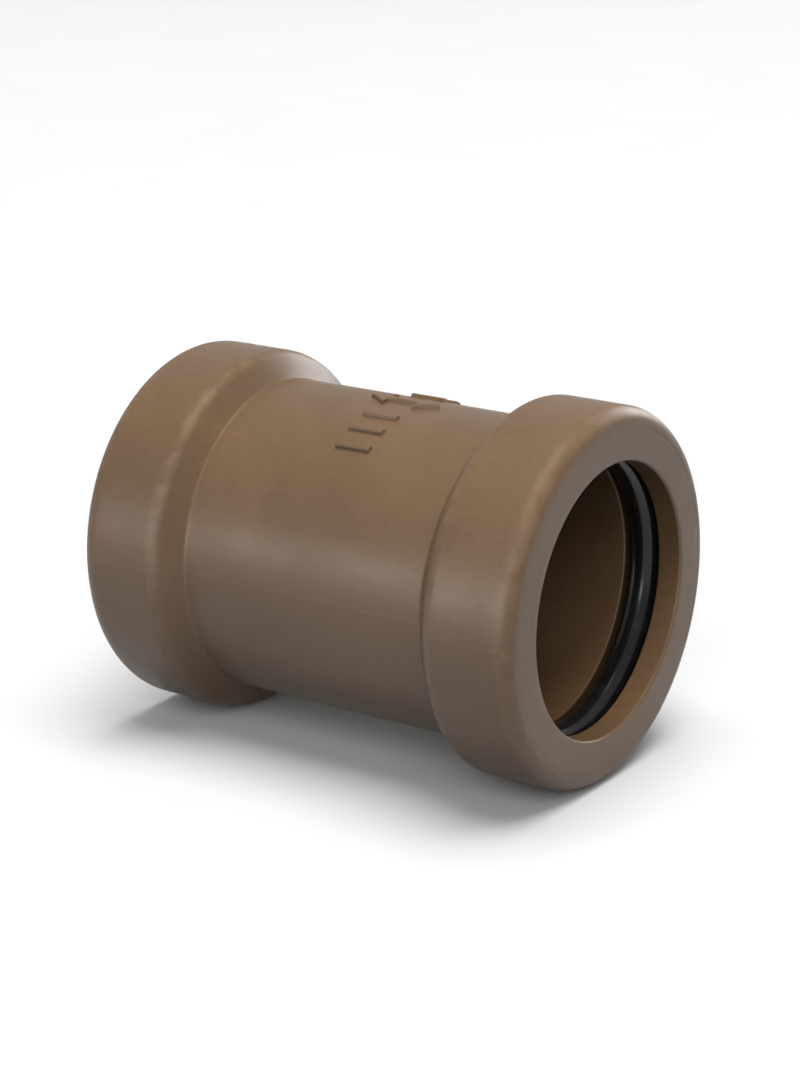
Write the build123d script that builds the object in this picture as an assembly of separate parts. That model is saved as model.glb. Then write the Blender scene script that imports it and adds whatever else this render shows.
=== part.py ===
from build123d import *
import os

# Push-fit coupling for 32 mm waste pipe (34.6 mm outside diameter).
# The bore lies along X. The origin is on the bore's axis, at mid-length, and +Z points at the raised mark.

# Driving dimensions, in millimetres and degrees
pipe_radius = 17.3
bore_clearance = 0.25
length = 65.3
head_radius = 24.25
head_length = 11.9
shoulder_length = 2.65
mid_radius = 20.8
rim_round_axial = 2.45
rim_round_radial = 2.0
crease_round = 2.5
waist_round = 0.6

ring_thickness = 3.3
ring_seat_radius = 22.0
ring_side_gap = 0.05
mouth_round = 0.4
ring_back_chamfer = 0.3

groove_width = 4.95
groove_radius = 20.25
bore_edge_round = 0.3

stop_radius = 16.3
stop_width = 2.0
stop_edge_round = 0.25

seal_pipe_gap = 0.03
seal_width = 4.0
seal_corner_round = 1.3
seal_ring_gap = 0.475

mark_height = 0.5
mark_along = 1.75
stroke_length = 5.4
stroke_width = 1.3
stroke_angles = (-33, -24, -15, 15, 24, 33)
arrow_length = 11.0
arrow_head_length = 3.4
arrow_head_width = 4.4
arrow_shaft_width = 1.3

# Worked out from the driving dimensions
bore_radius = pipe_radius + bore_clearance
half_length = length / 2
face_radius = head_radius - rim_round_radial
ring_back = half_length - ring_thickness
groove_back = ring_back - groove_width
crease = half_length - head_length
waist = crease - shoulder_length
stop_face = stop_width / 2


def corners(outline, *points):
    # the corners of an outline that lie at the given points
    near = []
    for x, r in points:
        near += outline.vertices().sort_by_distance(Vector(x, r, 0))[:1]
    return near


def turned(outline):
    # an outline in the XY plane, turned a full circle about the bore's axis
    return revolve(outline, Axis.X)


def body_half_outline():
    # from the middle of the bore, along the outside, round the rim and back through the seal groove
    outside = Polyline((0, stop_radius), (0, mid_radius), (waist, mid_radius), (crease, head_radius),
                       (half_length - rim_round_axial, head_radius))
    rim_centre = (half_length - rim_round_axial, face_radius)
    rim = EllipticalCenterArc(rim_centre, rim_round_axial, rim_round_radial, arc_size=90)
    inside = Polyline((half_length, face_radius), (half_length, ring_seat_radius), (ring_back, ring_seat_radius),
                      (ring_back, groove_radius), (groove_back, groove_radius), (groove_back, bore_radius),
                      (stop_face, bore_radius), (stop_face, stop_radius), (0, stop_radius))
    outline = make_face(outside + rim + inside)
    outline = fillet(corners(outline, (crease, head_radius)), crease_round)
    outline = fillet(corners(outline, (waist, mid_radius)), waist_round)
    outline = fillet(corners(outline, (groove_back, bore_radius)), bore_edge_round)
    return fillet(corners(outline, (stop_face, stop_radius)), stop_edge_round)


def on_waist(angle):
    # the mark's place on the mid-body at an angle from the top, with its X along the bore
    return Rot(X=angle) * Pos(mark_along, 0, mid_radius)


def double_arrow():
    # an arrow with a head at each end, which points into both sockets
    tip, neck = arrow_length / 2, arrow_length / 2 - arrow_head_length
    shaft, wing = arrow_shaft_width / 2, arrow_head_width / 2
    right = [(neck, shaft), (neck, wing), (tip, 0), (neck, -wing), (neck, -shaft)]
    left = [(-x, -y) for x, y in right]
    return make_face(Polyline(right + left, close=True))


def raised_mark():
    # a double arrow on the top of the waist with three plain strokes on each side of it
    stroke = Box(stroke_length, stroke_width, 4 * mark_height)
    shapes = [on_waist(angle) * stroke for angle in stroke_angles]
    shapes.append(on_waist(0) * extrude(double_arrow(), 2 * mark_height, both=True))
    skin = Cylinder(mid_radius + mark_height, length / 2) - Cylinder(mid_radius - mark_height, length / 2)
    skin = Rot(Y=90) * skin
    return [shape & skin for shape in shapes]


def coupling_body():
    # one moulding: a waist between two heads, each counterbored for its seal and retaining ring,
    # with a stop ridge at mid-length that the two pipes butt against
    half = turned(body_half_outline())
    body = half + mirror(half, Plane.YZ)
    for shape in raised_mark():
        body += shape
    return body


def retaining_ring():
    # the ring welded into the mouth of a head, which closes the seal's groove
    outline = Pos(ring_back, bore_radius) * Rectangle(
        ring_thickness, ring_seat_radius - ring_side_gap - bore_radius, align=(Align.MIN, Align.MIN))
    outline = fillet(corners(outline, (half_length, bore_radius)), mouth_round)
    outline = chamfer(corners(outline, (ring_back, ring_seat_radius - ring_side_gap)), ring_back_chamfer)
    return turned(outline)


def seal_ring():
    # the rubber ring as it is squeezed between the groove and a pipe
    inner = pipe_radius + seal_pipe_gap
    outline = Pos(ring_back - seal_ring_gap, inner) * Rectangle(
        seal_width, groove_radius - inner, align=(Align.MAX, Align.MIN))
    return turned(fillet(outline.vertices(), seal_corner_round))


def write(shape, name):
    export_step(shape, f"parts/{name}.step")


os.makedirs("parts", exist_ok=True)
write(coupling_body(), "coupling_body")
for end, turn in (("front", 0), ("rear", 180)):
    write(Rot(Z=turn) * retaining_ring(), f"retaining_ring_{end}")
    write(Rot(Z=turn) * seal_ring(), f"seal_ring_{end}")
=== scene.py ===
import math
import bmesh
import bpy
import numpy as np
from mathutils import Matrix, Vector


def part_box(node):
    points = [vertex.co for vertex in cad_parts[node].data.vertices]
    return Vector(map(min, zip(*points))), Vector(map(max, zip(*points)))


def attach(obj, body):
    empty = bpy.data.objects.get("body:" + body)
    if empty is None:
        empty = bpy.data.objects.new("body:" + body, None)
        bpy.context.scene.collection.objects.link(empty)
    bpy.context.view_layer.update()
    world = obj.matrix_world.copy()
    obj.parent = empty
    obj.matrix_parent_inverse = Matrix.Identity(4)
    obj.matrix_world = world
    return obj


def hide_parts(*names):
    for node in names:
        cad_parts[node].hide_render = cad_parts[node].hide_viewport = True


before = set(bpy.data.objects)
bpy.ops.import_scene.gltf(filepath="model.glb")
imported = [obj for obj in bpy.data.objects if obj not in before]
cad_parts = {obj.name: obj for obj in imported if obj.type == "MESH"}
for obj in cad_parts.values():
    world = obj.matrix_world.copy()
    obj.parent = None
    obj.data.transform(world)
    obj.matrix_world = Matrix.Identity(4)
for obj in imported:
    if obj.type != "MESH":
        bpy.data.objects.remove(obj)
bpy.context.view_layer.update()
mm = 0.001

# the sizes the frame knows
bodyLow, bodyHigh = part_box("coupling_body")
ringLow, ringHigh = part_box("retaining_ring_front")
halfLength = bodyHigh.x
headRadius = bodyHigh.y
ringBack = ringLow.x
ringRadius = ringHigh.y
lengthMm, widthMm = round(2 * halfLength / mm, 2), round(2 * headRadius / mm, 2)
print("frame loaded:", lengthMm, "mm long and", widthMm, "mm wide")


# camera first: it looks back at the bore's middle from the front socket's side
cameraSet = {
    "azimuth": 34.62,
    "elevation": 17.66,
    "distance": 0.3404,
    "lens": 88.39,
    "shiftX": 0.0055,
    "shiftY": 0.0213,
}


def towards(azimuth, elevation):
    # the direction at an angle clockwise from +Y and an angle above the floor
    turn, rise = math.radians(azimuth), math.radians(elevation)
    return Vector((math.sin(turn) * math.cos(rise), math.cos(turn) * math.cos(rise), math.sin(rise)))


def placeCamera(choice):
    cameraData = bpy.data.cameras.new("camera")
    camera = bpy.data.objects.new("camera", cameraData)
    bpy.context.scene.collection.objects.link(camera)
    back = towards(180 - choice["azimuth"], choice["elevation"])
    camera.location = back * choice["distance"]
    camera.rotation_euler = (-back).to_track_quat("-Z", "Y").to_euler()
    cameraData.lens = choice["lens"]
    cameraData.shift_x = choice["shiftX"]
    cameraData.shift_y = choice["shiftY"]
    cameraData.clip_start, cameraData.clip_end = 0.01, 20
    bpy.context.scene.camera = camera


placeCamera(cameraSet)
print("camera placed")


class Signal:
    # a value on its way between shader nodes: arithmetic on it adds Math nodes

    def __init__(self, finish, socket):
        self.finish = finish
        self.socket = socket

    def math(self, operation, *values):
        inputs = dict(enumerate(values))
        return self.finish.node("ShaderNodeMath", {"operation": operation}, inputs)["Value"]

    def __add__(self, other):
        return self.math("ADD", self, other)

    def __sub__(self, other):
        return self.math("SUBTRACT", self, other)

    def __rsub__(self, other):
        return self.math("SUBTRACT", other, self)

    def __mul__(self, other):
        return self.math("MULTIPLY", self, other)

    def __pow__(self, other):
        return self.math("POWER", self, other)

    __radd__ = __add__
    __rmul__ = __mul__

    def size(self):
        return self.math("ABSOLUTE", self)

    def larger(self, other):
        return self.math("MAXIMUM", self, other)

    def ramp(self, start, end, low=0.0, high=1.0):
        # a smooth step from low to high as this value goes from start to end
        settings = {"interpolation_type": "SMOOTHSTEP"}
        inputs = {"Value": self, "From Min": start, "From Max": end, "To Min": low, "To Max": high}
        return self.finish.node("ShaderNodeMapRange", settings, inputs)["Result"]


class Outputs:
    # a node's outputs by name, each as a Signal

    def __init__(self, finish, node):
        self.finish = finish
        self.made = node

    def __getitem__(self, name):
        return Signal(self.finish, self.made.outputs[name])


class Finish:
    # the nodes of one material, or of the surround

    def __init__(self, owner):
        self.owner = owner
        owner.use_nodes = True
        self.tree = owner.node_tree
        self.tree.nodes.clear()

    def node(self, kind, settings=None, inputs=None):
        # settings come first, because they decide which sockets the node has
        made = self.tree.nodes.new(kind)
        for name, value in (settings or {}).items():
            setattr(made, name, value)
        for name, value in (inputs or {}).items():
            socket = made.inputs[name]
            if isinstance(value, Signal):
                self.tree.links.new(value.socket, socket)
            else:
                socket.default_value = value
        return Outputs(self, made)

    def noise(self, scale, detail, roughness, vector, distortion=0.0):
        inputs = {"Scale": scale, "Detail": detail, "Roughness": roughness, "Distortion": distortion}
        inputs["Vector"] = vector
        return self.node("ShaderNodeTexNoise", {"noise_dimensions": "3D"}, inputs)["Fac"]

    def mixColour(self, factor, first, second, blend="MIX"):
        settings = {"data_type": "RGBA", "blend_type": blend}
        made = self.node("ShaderNodeMix", settings, {0: factor, 6: first, 7: second})
        return Signal(self, made.made.outputs[2])

    def bump(self, height):
        # the height is in metres, so nothing scales it
        inputs = {"Strength": 1.0, "Distance": 1.0, "Height": height}
        return self.node("ShaderNodeBump", None, inputs)["Normal"]

    def surface(self, inputs):
        shader = self.node("ShaderNodeBsdfPrincipled", None, inputs)
        self.node("ShaderNodeOutputMaterial", None, {"Surface": shader["BSDF"]})
        return self.owner


# brown moulded polypropylene: colours are linear, lengths in metres
plasticSet = {
    "deep": (0.070, 0.0405, 0.0195, 1),
    "light": (0.082, 0.0475, 0.0235, 1),
    "worn": (0.105, 0.066, 0.036, 1),
    # the colour of the painted shade at the foot of the raised mark and in the seal grooves
    "grime": (0.022, 0.013, 0.0065, 1),
    "ior": 1.49,
    "roughness": 0.38,
    "glossSpread": 0.035,
    "flowScale": 30,
    "speckleScale": 1400,
    "speckleRange": (0.94, 1.06),
    "rubScale": 420,
    "rubShare": 0.45,
    # how much painted shade the foot of the raised mark and the seal grooves get
    "footGrime": 0.3,
    "grooveGrime": 0.75,
    # where the painted shade in the seal grooves lies: radii and reaches along the bore
    "grooveInside": (0.01745, 0.0179),
    "grooveOutside": (0.0203, 0.0204),
    "grooveRear": (0.0240, 0.0243),
    "grooveFront": (0.0293, 0.02935),
    "hairScale": (5200, 9, 900),
    "grainScale": 2600,
    "grainDepth": 0.000003,
    "turningDepth": 0.000002,
    "scuffDepth": 0.0000012,
    "splitOutside": (0.0204, 0.0206),
    "splitWidth": 0.00008,
    "splitDepth": 0.000008,
}


def brownPlastic(name, choice, splitLine):
    finish = Finish(bpy.data.materials.new(name))
    place = finish.node("ShaderNodeTexCoord")["Object"]
    parts = finish.node("ShaderNodeSeparateXYZ", None, {"Vector": place})
    along, side, height = parts["X"], parts["Y"], parts["Z"]
    radius = (side * side + height * height) ** 0.5
    turn = height.math("ARCTAN2", side, height)
    edge = finish.node("ShaderNodeAttribute", {"attribute_name": "edge"})["Fac"]
    # the negative side of the edge attribute marks where shade is painted at the foot of the raised mark
    worn, corner = edge.ramp(0, 1), edge.ramp(0, -1)

    # colour: slow flow marks from the moulding, fine pigment speckle, and edges rubbed a little paler
    flow = finish.noise(choice["flowScale"], 3, 0.55, place, 1.2)
    speckle = finish.noise(choice["speckleScale"], 2, 0.6, place)
    body = finish.mixColour(flow.ramp(0.3, 0.7), choice["deep"], choice["light"])
    shade = speckle.ramp(0.25, 0.75, *choice["speckleRange"])
    shades = finish.node("ShaderNodeCombineXYZ", None, {"X": shade, "Y": shade, "Z": shade})["Vector"]
    body = finish.mixColour(1.0, body, shades, "MULTIPLY")
    rub = worn * finish.noise(choice["rubScale"], 4, 0.65, place).ramp(0.42, 0.62)
    body = finish.mixColour(rub * choice["rubShare"], body, choice["worn"])

    # painted shade: a darker colour at the foot of the raised mark and on the walls of the seal grooves,
    # where shade falls
    reach = along.size()
    # painted shade on the walls of the seal grooves, which lie in shade
    groove = radius.ramp(*choice["grooveInside"]) * radius.ramp(*choice["grooveOutside"], 1, 0)
    groove = groove * reach.ramp(*choice["grooveRear"]) * reach.ramp(*choice["grooveFront"], 1, 0)
    # the painted shade of both places, mixed into the colour
    paintedShadeAmount = (corner * choice["footGrime"]).larger(groove * choice["grooveGrime"])
    body = finish.mixColour(paintedShadeAmount, body, choice["grime"])

    # scuffs: short hairlines round the part, from noise stretched along the turn
    alongScale, turnScale, radiusScale = choice["hairScale"]
    stretched = {"X": along * alongScale, "Y": turn * turnScale, "Z": radius * radiusScale}
    ribbon = finish.node("ShaderNodeCombineXYZ", None, stretched)["Vector"]
    hair = finish.noise(1.0, 3, 0.6, ribbon)
    patch = finish.noise(95, 3, 0.6, place).ramp(0.52, 0.7)
    scuff = hair.ramp(0.60, 0.68) * patch

    # gloss: satin, a little duller in patches, on scuffs, on rubbed edges and where shade is painted at
    # the foot of the mark
    cloud = finish.noise(160, 4, 0.6, place)
    gloss = cloud.ramp(0.3, 0.7, -choice["glossSpread"], choice["glossSpread"]) + choice["roughness"]
    gloss = gloss + scuff * 0.10 + rub * 0.08 + corner * 0.15

    # relief: mould grain, the tool's polishing lines, and the fine line where the mould halves met
    turning = finish.noise(1.0, 2, 0.5, ribbon)
    relief = finish.noise(choice["grainScale"], 2, 0.5, place) * choice["grainDepth"]
    relief = relief + turning * choice["turningDepth"] - scuff * choice["scuffDepth"]
    if splitLine:
        outside = radius.ramp(*choice["splitOutside"])
        ridge = height.size().ramp(choice["splitWidth"], choice["splitWidth"] * 2.2, 1, 0)
        relief = relief + ridge * outside * choice["splitDepth"]
    inputs = {"Base Color": body, "Roughness": gloss, "Normal": finish.bump(relief), "IOR": choice["ior"]}
    return finish.surface(inputs)


# black rubber, wet with fitting lubricant
rubberSet = {
    "black": (0.0045, 0.0045, 0.0050, 1),
    "bloom": (0.0085, 0.0085, 0.0090, 1),
    "ior": 1.38,
    "roughness": 0.16,
    "skinDepth": 0.000003,
    "fineSkinDepth": 0.0000012,
}


def blackRubber(name, choice):
    finish = Finish(bpy.data.materials.new(name))
    place = finish.node("ShaderNodeTexCoord")["Object"]
    bloom = finish.noise(240, 4, 0.6, place, 0.6)
    colour = finish.mixColour(bloom.ramp(0.4, 0.75), choice["black"], choice["bloom"])
    smear = finish.noise(130, 3, 0.55, place)
    gloss = smear.ramp(0.35, 0.7, -0.03, 0.07) + choice["roughness"]
    skin = finish.noise(900, 3, 0.5, place) * choice["skinDepth"]
    skin = skin + finish.noise(3200, 2, 0.5, place) * choice["fineSkinDepth"]
    inputs = {"Base Color": colour, "Roughness": gloss, "Normal": finish.bump(skin), "IOR": choice["ior"]}
    return finish.surface(inputs)


plastic = brownPlastic("brown_polypropylene", plasticSet, True)
ringPlastic = brownPlastic("brown_polypropylene_ring", plasticSet, False)
rubber = blackRubber("black_seal_rubber", rubberSet)
print("finishes ready")


def meshObject(name, points, faces, material, shares):
    # a smooth mesh from an array of points, an array of faces and a value at each point: 1 where the
    # edge is rubbed, -1 where shade is painted at the foot of the raised mark
    mesh = bpy.data.meshes.new(name)
    mesh.from_pydata(points.tolist(), [], faces.tolist())
    mesh.polygons.foreach_set("use_smooth", np.ones(len(faces), bool))
    layer = mesh.attributes.new("edge", "FLOAT", "POINT")
    layer.data.foreach_set("value", shares.astype(np.float32))
    mesh.materials.append(material)
    mesh.validate()
    piece = bpy.data.objects.new(name, mesh)
    bpy.context.scene.collection.objects.link(piece)
    return piece


def gridFaces(rows, columns, closedRows):
    # four-sided faces between neighbours on a grid of rows by columns: each row is a closed ring, and the
    # last row joins the first where the rows are closed too
    row = np.arange(rows if closedRows else rows - 1)[:, None]
    column = np.arange(columns)[None, :]
    nextRow, nextColumn = (row + 1) % rows, (column + 1) % columns
    corners = [row * columns + column, row * columns + nextColumn,
               nextRow * columns + nextColumn, nextRow * columns + column]
    return np.stack(np.broadcast_arrays(*corners), -1).reshape(-1, 4)


def roundedLoop(corners, spacing, arcPoints, wornAbove):
    # a closed outline through corners of (along, radius, reach before, reach after): straight stretches
    # cut into even steps, and at each corner the conic that leaves and meets its sides at those reaches;
    # the wear is a half sine along each outward bend that lies above a radius
    place = np.array([corner[:2] for corner in corners], float)
    reach = np.array([corner[2:] for corner in corners], float)
    before, after = np.roll(place, 1, 0) - place, np.roll(place, -1, 0) - place
    before /= np.linalg.norm(before, axis=1)[:, None]
    after /= np.linalg.norm(after, axis=1)[:, None]
    start = place + before * reach[:, :1]
    end = place + after * reach[:, 1:]
    weight = np.sqrt((1 - (before * after).sum(1)) / 2)
    pieces, wear = [], []
    for index in range(len(corners)):
        if reach[index].max() > 0:
            t = np.linspace(0, 1, arcPoints)[:, None]
            share = [(1 - t) ** 2, 2 * t * (1 - t) * weight[index], t ** 2]
            arc = share[0] * start[index] + share[1] * place[index] + share[2] * end[index]
            arc /= sum(share)
            bulge = before[index, 0] * after[index, 1] - before[index, 1] * after[index, 0]
            rubbed = bulge > 0 and place[index, 1] > wornAbove
            wear.append(np.sin(np.pi * t[:, 0]) * rubbed)
        else:
            arc = place[index:index + 1]
            wear.append(np.zeros(1))
        pieces.append(arc)
        nextIndex = (index + 1) % len(corners)
        gap = start[nextIndex] - end[index]
        steps = int(np.linalg.norm(gap) / spacing)
        if steps > 1:
            pieces.append(end[index] + gap * (np.arange(1, steps) / steps)[:, None])
            wear.append(np.zeros(steps - 1))
    return np.concatenate(pieces), np.concatenate(wear)


def turnedPiece(name, outline, wear, segments, material):
    # the outline carried round the bore: each point's radius is turned through every angle of the circle
    angle = np.linspace(0, 2 * np.pi, segments, endpoint=False)
    along, radius = outline[:, :1], outline[:, 1:]
    points = np.stack(np.broadcast_arrays(along, radius * np.sin(angle), radius * np.cos(angle)), -1)
    faces = gridFaces(len(outline), segments, True)
    shares = np.repeat(wear, segments)
    area = (outline[:, 0] * np.roll(outline[:, 1], -1) - np.roll(outline[:, 0], -1) * outline[:, 1]).sum()
    if area < 0:
        faces = faces[:, ::-1]
    return meshObject(name, points.reshape(-1, 3), faces, material, shares)


def finishPiece(piece, slotName, *nodes):
    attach(piece, "root")
    if nodes:
        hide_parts(*nodes)
    return piece


# the moulded body: one closed outline, turned
bodySet = {
    "waistRadius": 0.0208,
    "shoulder": 0.00265,
    "headLength": 0.0119,
    "rimAlong": 0.00245,
    "rimAcross": 0.0020,
    "creaseReach": 0.00124,
    "waistReach": 0.0003,
    "boreRadius": 0.01755,
    "boreReach": 0.0003,
    "grooveRadius": 0.02025,
    "grooveWidth": 0.00495,
    "stopRadius": 0.0163,
    "stopReach": 0.00025,
    "seatGap": 0.00001,
    "tinyReach": 0.00003,
    "stopFace": 0.001,
    "spacing": 0.0009,
    "arcPoints": 9,
    "wornAbove": 0.0215,
    "segments": 288,
}


def bodyOutline(choice):
    seat = ringRadius + choice["seatGap"]
    crease = halfLength - choice["headLength"]
    waist = crease - choice["shoulder"]
    grooveBack = ringBack - choice["grooveWidth"]
    tiny, bend = choice["tinyReach"], choice["creaseReach"]
    front = [
        (waist, choice["waistRadius"], choice["waistReach"], choice["waistReach"]),
        (crease, headRadius, bend, bend),
        (halfLength, headRadius, choice["rimAlong"], choice["rimAcross"]),
        (halfLength, seat, tiny, tiny),
        (ringBack, seat, 0, 0),
        (ringBack, choice["grooveRadius"], tiny, tiny),
        (grooveBack, choice["grooveRadius"], tiny, tiny),
        (grooveBack, choice["boreRadius"], choice["boreReach"], choice["boreReach"]),
        (choice["stopFace"], choice["boreRadius"], tiny, tiny),
        (choice["stopFace"], choice["stopRadius"], choice["stopReach"], choice["stopReach"]),
    ]
    rear = [(-along, radius, after, before) for along, radius, before, after in front[::-1]]
    return roundedLoop(front + rear, choice["spacing"], choice["arcPoints"], choice["wornAbove"])


outline, wear = bodyOutline(bodySet)
body = turnedPiece("coupling_body_moulding", outline, wear, bodySet["segments"], plastic)
finishPiece(body, "body_plastic", "coupling_body")
print("body moulding", len(body.data.polygons), "faces")


# the raised mark on the waist: plain strokes on each side of a double arrow
markSet = {
    "height": 0.0005,
    "along": 0.00175,
    "side": 0.00036,
    "sink": 0.00012,
    "strokeLength": 0.0054,
    "strokeWidth": 0.0013,
    "strokeAngles": (-33, -24, -15, 15, 24, 33),
    "arrowLength": 0.011,
    "headLength": 0.0034,
    "headWidth": 0.0044,
    "shaftWidth": 0.0013,
    "corner": 0.00025,
}


def raisedRings(edge, middle, choice):
    # rings of points from a closed edge towards the shape's middle line: the steps in are even while the
    # rise follows sine squared, and rings on the middle line close the buried base and the flat top
    share = np.linspace(0, 1, 8)[:, None, None]
    way = middle - edge
    wide = np.minimum(choice["side"] / np.linalg.norm(way, axis=1), 0.92)[:, None]
    slope = edge + way * wide * share
    rings = np.concatenate([middle[None], slope, middle[None]])
    rise = np.sin(share.ravel() * np.pi / 2) ** 2 * (choice["height"] + choice["sink"]) - choice["sink"]
    heights = np.concatenate([rise[:1], rise, rise[-1:]])
    # painted shade: the rings near the foot get a darker colour, standing in for the shade in that corner
    grime = np.clip(1 - heights / choice["height"] * 1.5, 0, 1)
    return rings, heights, grime


def onWaist(flat, heights, angle, choice):
    # bends a flat shape over the waist: its width becomes an angle from the top
    radius = bodySet["waistRadius"] + heights[:, None]
    turn = np.radians(angle) + flat[:, :, 1] / bodySet["waistRadius"]
    along = flat[:, :, 0] + choice["along"]
    return np.stack(np.broadcast_arrays(along, radius * np.sin(turn), radius * np.cos(turn)), -1)


def stroke(choice):
    # a plain bar with small round corners, anticlockwise, and the middle line that its top runs along
    half = (choice["strokeLength"] / 2, choice["strokeWidth"] / 2)
    edge = roundedEdge([(-1, -1), (1, -1), (1, 1), (-1, 1)], half, choice)
    reach = half[0] - half[1]
    return edge, np.stack([np.clip(edge[:, 0], -reach, reach), 0 * edge[:, 0]], -1)


def doubleArrow(choice):
    # a double arrow, anticlockwise: its heads close on a point inside them, its shaft on its middle line
    tip, neck = choice["arrowLength"] / 2, choice["arrowLength"] / 2 - choice["headLength"]
    shaft, wing = choice["shaftWidth"] / 2, choice["headWidth"] / 2
    half = [(neck, -shaft), (neck, -wing), (tip, 0), (neck, wing), (neck, shaft)]
    edge = roundedEdge(half + [(-x, -y) for x, y in half], (1, 1), choice)
    inside = neck + choice["headLength"] * 0.35
    onHead = np.abs(edge[:, 0]) > neck - choice["corner"] / 4
    along = np.where(onHead, np.sign(edge[:, 0]) * inside, edge[:, 0])
    return edge, np.stack([along, 0 * along], -1)


def roundedEdge(corners, scale, choice):
    # a closed outline whose corners are quadratic curves, with even steps along its sides
    place = np.array(corners, float) * scale
    before, after = np.roll(place, 1, 0) - place, np.roll(place, -1, 0) - place
    start = place + before * (choice["corner"] / np.linalg.norm(before, axis=1))[:, None]
    end = place + after * (choice["corner"] / np.linalg.norm(after, axis=1))[:, None]
    t = np.linspace(0, 1, 5)[None, :, None]
    bends = (1 - t) ** 2 * start[:, None] + 2 * t * (1 - t) * place[:, None] + t ** 2 * end[:, None]
    share = np.linspace(0, 1, 12)[None, 1:-1, None]
    sides = end[:, None] * (1 - share) + np.roll(start, -1, 0)[:, None] * share
    return np.concatenate([bends, sides], 1).reshape(-1, 2)


def raisedMark(choice):
    shapes = [(stroke(choice), angle) for angle in choice["strokeAngles"]] + [(doubleArrow(choice), 0)]
    points, faces, shares, count = [], [], [], 0
    for (edge, middle), angle in shapes:
        flat, heights, grime = raisedRings(edge, middle, choice)
        points.append(onWaist(flat, heights, angle, choice).reshape(-1, 3))
        faces.append(gridFaces(len(flat), len(edge), False) + count)
        # the painted shade at the foot is carried as negative values of the edge attribute
        shares.append(np.repeat(-grime, len(edge)))
        count += len(points[-1])
    points, faces, shares = (np.concatenate(part) for part in (points, faces, shares))
    mark = meshObject("raised_mark", points, faces, plastic, shares)
    # points that meet on a middle line become one
    shell = bmesh.new()
    shell.from_mesh(mark.data)
    bmesh.ops.remove_doubles(shell, verts=shell.verts, dist=0.000002)
    shell.to_mesh(mark.data)
    shell.free()
    return finishPiece(mark, "body_plastic")


raisedMark(markSet)
print("raised mark done")


# the retaining rings, welded into the mouths
ringSet = {
    "boreReach": 0.0002,
    "backReach": 0.0003,
    "rimReach": 0.00003,
    "mouthReach": 0.0004,
    "spacing": 0.0008,
    "arcPoints": 9,
    "wornAbove": 1,  # no corner lies this far out, so none is rubbed
    "segments": 288,
}


def retainingRing(end, side, choice):
    bore = bodySet["boreRadius"]
    corners = [
        (ringBack, bore, choice["boreReach"], choice["boreReach"]),
        (ringBack, ringRadius, choice["backReach"], choice["backReach"]),
        (halfLength, ringRadius, choice["rimReach"], choice["rimReach"]),
        (halfLength, bore, choice["mouthReach"], choice["mouthReach"]),
    ]
    outline, wear = roundedLoop(corners, choice["spacing"], choice["arcPoints"], choice["wornAbove"])
    outline = outline * (side, 1)
    node = "retaining_ring_" + end
    ring = turnedPiece(node + "_moulding", outline, wear, choice["segments"], ringPlastic)
    return finishPiece(ring, "body_plastic", node)


# the seals as they lie before a pipe goes in, each in the middle of its groove
sealSet = {
    "section": 0.00353,
    "innerRadius": 0.01672,
    "flash": 0.00004,
    "flashWidth": 0.05,
    "segments": 288,
    "around": 64,
}


def sealRing(end, side, choice):
    # a torus: a circle of the rubber's section carried round the bore, with a thin moulding flash inside
    # and out, which falls off as a bell curve of the sine
    thick = choice["section"] / 2
    bend = np.linspace(0, 2 * np.pi, choice["around"], endpoint=False)
    flash = choice["flash"] * np.exp(-(np.sin(bend) / choice["flashWidth"]) ** 2)
    middle = ringBack - bodySet["grooveWidth"] / 2
    along = side * (middle + (thick + flash) * np.sin(bend))
    radius = choice["innerRadius"] + thick + (thick + flash) * np.cos(bend)
    outline = np.stack([along, radius], -1)
    node = "seal_ring_" + end
    ring = turnedPiece(node + "_relaxed", outline, np.zeros(len(bend)), choice["segments"], rubber)
    return finishPiece(ring, "seal_rubber", node)


for end, side in (("front", 1), ("rear", -1)):
    retainingRing(end, side, ringSet)
    sealRing(end, side, sealSet)
print("retaining rings and seals done")


# studio: a pale floor under the heads, an even surround and soft lights
# angles are degrees seen from the coupling; strength is how bright a facing white card gets, where paper
# white is 1; a light with shine only reflects, and the others only shade
studioSet = {
    "floorColour": (0.37, 0.37, 0.37, 1),
    "above": 0.55,
    "below": 0.25,
    "distance": 4.0,
    "floorReach": (0.05, 0.2, 0.8, 2.5, 8.0),
    "floorSegments": 96,
    "lights": {
        "overhead": {"way": (100, 84), "spread": (20, 20), "strength": 2.35, "shine": False},
        "camera_side": {"way": (148, 32), "spread": (16, 16), "strength": 0.74, "shine": False},
        "front_side": {"way": (178, 32), "spread": (16, 16), "strength": 0.16, "shine": False},
        "top_card": {"way": (97, 83), "spread": (9, 9), "strength": 0.08, "shine": True},
        "front_card": {"way": (-174, 1), "spread": (34, 14), "strength": 1.1, "shine": True},
        "back_card": {"way": (1, 15), "spread": (14, 11), "strength": 0.33, "shine": True},
    },
}


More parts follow.
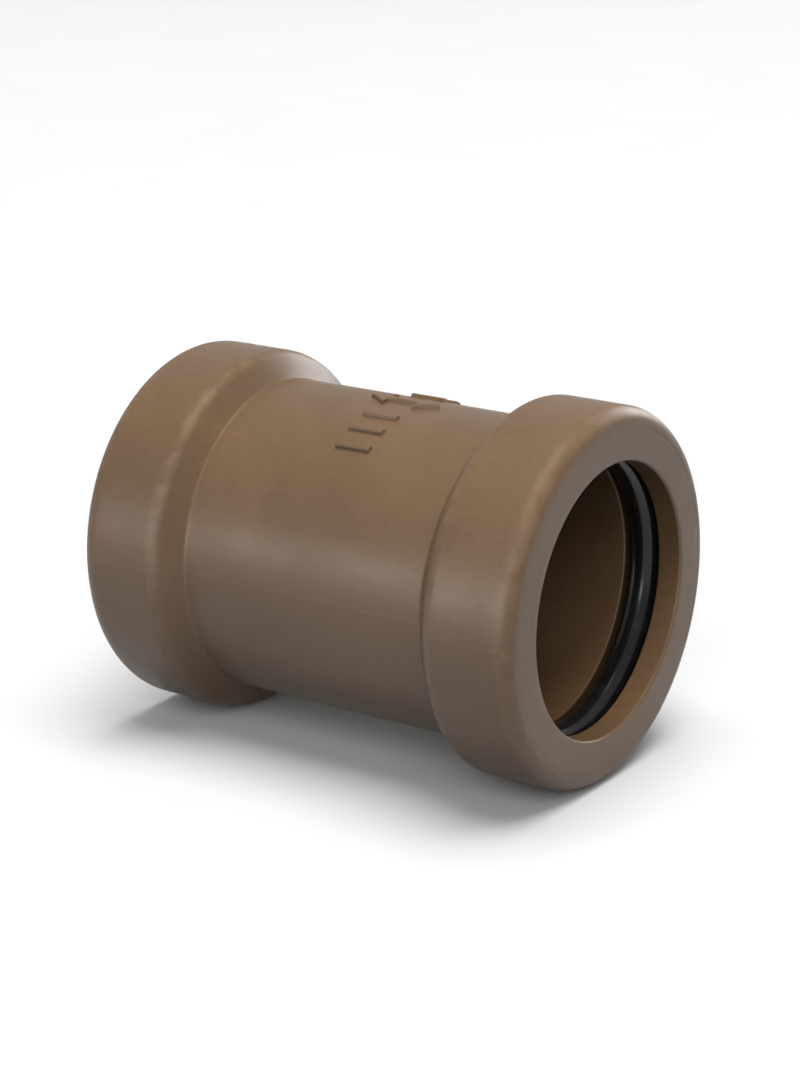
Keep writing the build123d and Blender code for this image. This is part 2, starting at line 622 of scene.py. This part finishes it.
def studioFloor(choice):
    finish = Finish(bpy.data.materials.new("pale_floor"))
    grain = finish.noise(30, 3, 0.5, finish.node("ShaderNodeTexCoord")["Object"])
    darker = tuple(0.94 * part for part in choice["floorColour"][:3]) + (1,)
    colour = finish.mixColour(grain, darker, choice["floorColour"])
    finish.surface({"Base Color": colour, "Roughness": 0.85})
    # circles of points at floor level, each wider than the last, and a fan that closes the smallest
    count = choice["floorSegments"]
    angle = np.linspace(0, 2 * np.pi, count, endpoint=False)
    reach = np.array(choice["floorReach"])[:, None]
    level = bodyLow.z + 0 * angle
    points = np.stack(np.broadcast_arrays(reach * np.cos(angle), reach * np.sin(angle), level), -1)
    points = np.concatenate([points.reshape(-1, 3), [[0, 0, bodyLow.z]]])
    step = np.arange(count)
    fan = np.stack([np.full(count, len(points) - 1), step, (step + 1) % count], -1)
    faces = gridFaces(len(reach), count, False)[:, ::-1].tolist() + fan.tolist()
    mesh = bpy.data.meshes.new("floor")
    mesh.from_pydata(points.tolist(), [], faces)
    mesh.materials.append(finish.owner)
    floor = bpy.data.objects.new("floor", mesh)
    bpy.context.scene.collection.objects.link(floor)
    # kept out of the bounced light, so the undersides keep their shade
    floor.visible_diffuse = False


def studioSurround(choice):
    # one brightness above the horizon and another below it, with a soft step between
    world = bpy.data.worlds.new("surround")
    finish = Finish(world)
    way = finish.node("ShaderNodeTexCoord")["Generated"]
    height = finish.node("ShaderNodeSeparateXYZ", None, {"Vector": way})["Z"]
    strength = height.ramp(-0.2, 0.2, choice["below"], choice["above"])
    background = finish.node("ShaderNodeBackground", None, {"Color": (1, 1, 1, 1), "Strength": strength})
    finish.node("ShaderNodeOutputWorld", None, {"Surface": background["Background"]})
    bpy.context.scene.world = world


def studioLights(choice):
    # a panel's power is strength x pi squared x distance squared, and its sides follow from its spread
    far = choice["distance"]
    for name, light in choice["lights"].items():
        lamp = bpy.data.lights.new(name, "AREA")
        lamp.shape = "RECTANGLE"
        lamp.size, lamp.size_y = (2 * far * math.tan(math.radians(angle)) for angle in light["spread"])
        lamp.energy = light["strength"] * math.pi ** 2 * far ** 2
        lampObject = bpy.data.objects.new(name, lamp)
        way = towards(*light["way"])
        lampObject.location = way * far
        lampObject.rotation_euler = way.to_track_quat("Z", "Y").to_euler()
        lampObject.visible_glossy = light["shine"]
        lampObject.visible_diffuse = not light["shine"]
        bpy.context.scene.collection.objects.link(lampObject)


studioFloor(studioSet)
studioSurround(studioSet)
studioLights(studioSet)
bpy.context.scene.view_settings.view_transform = "Standard"
print("studio ready")
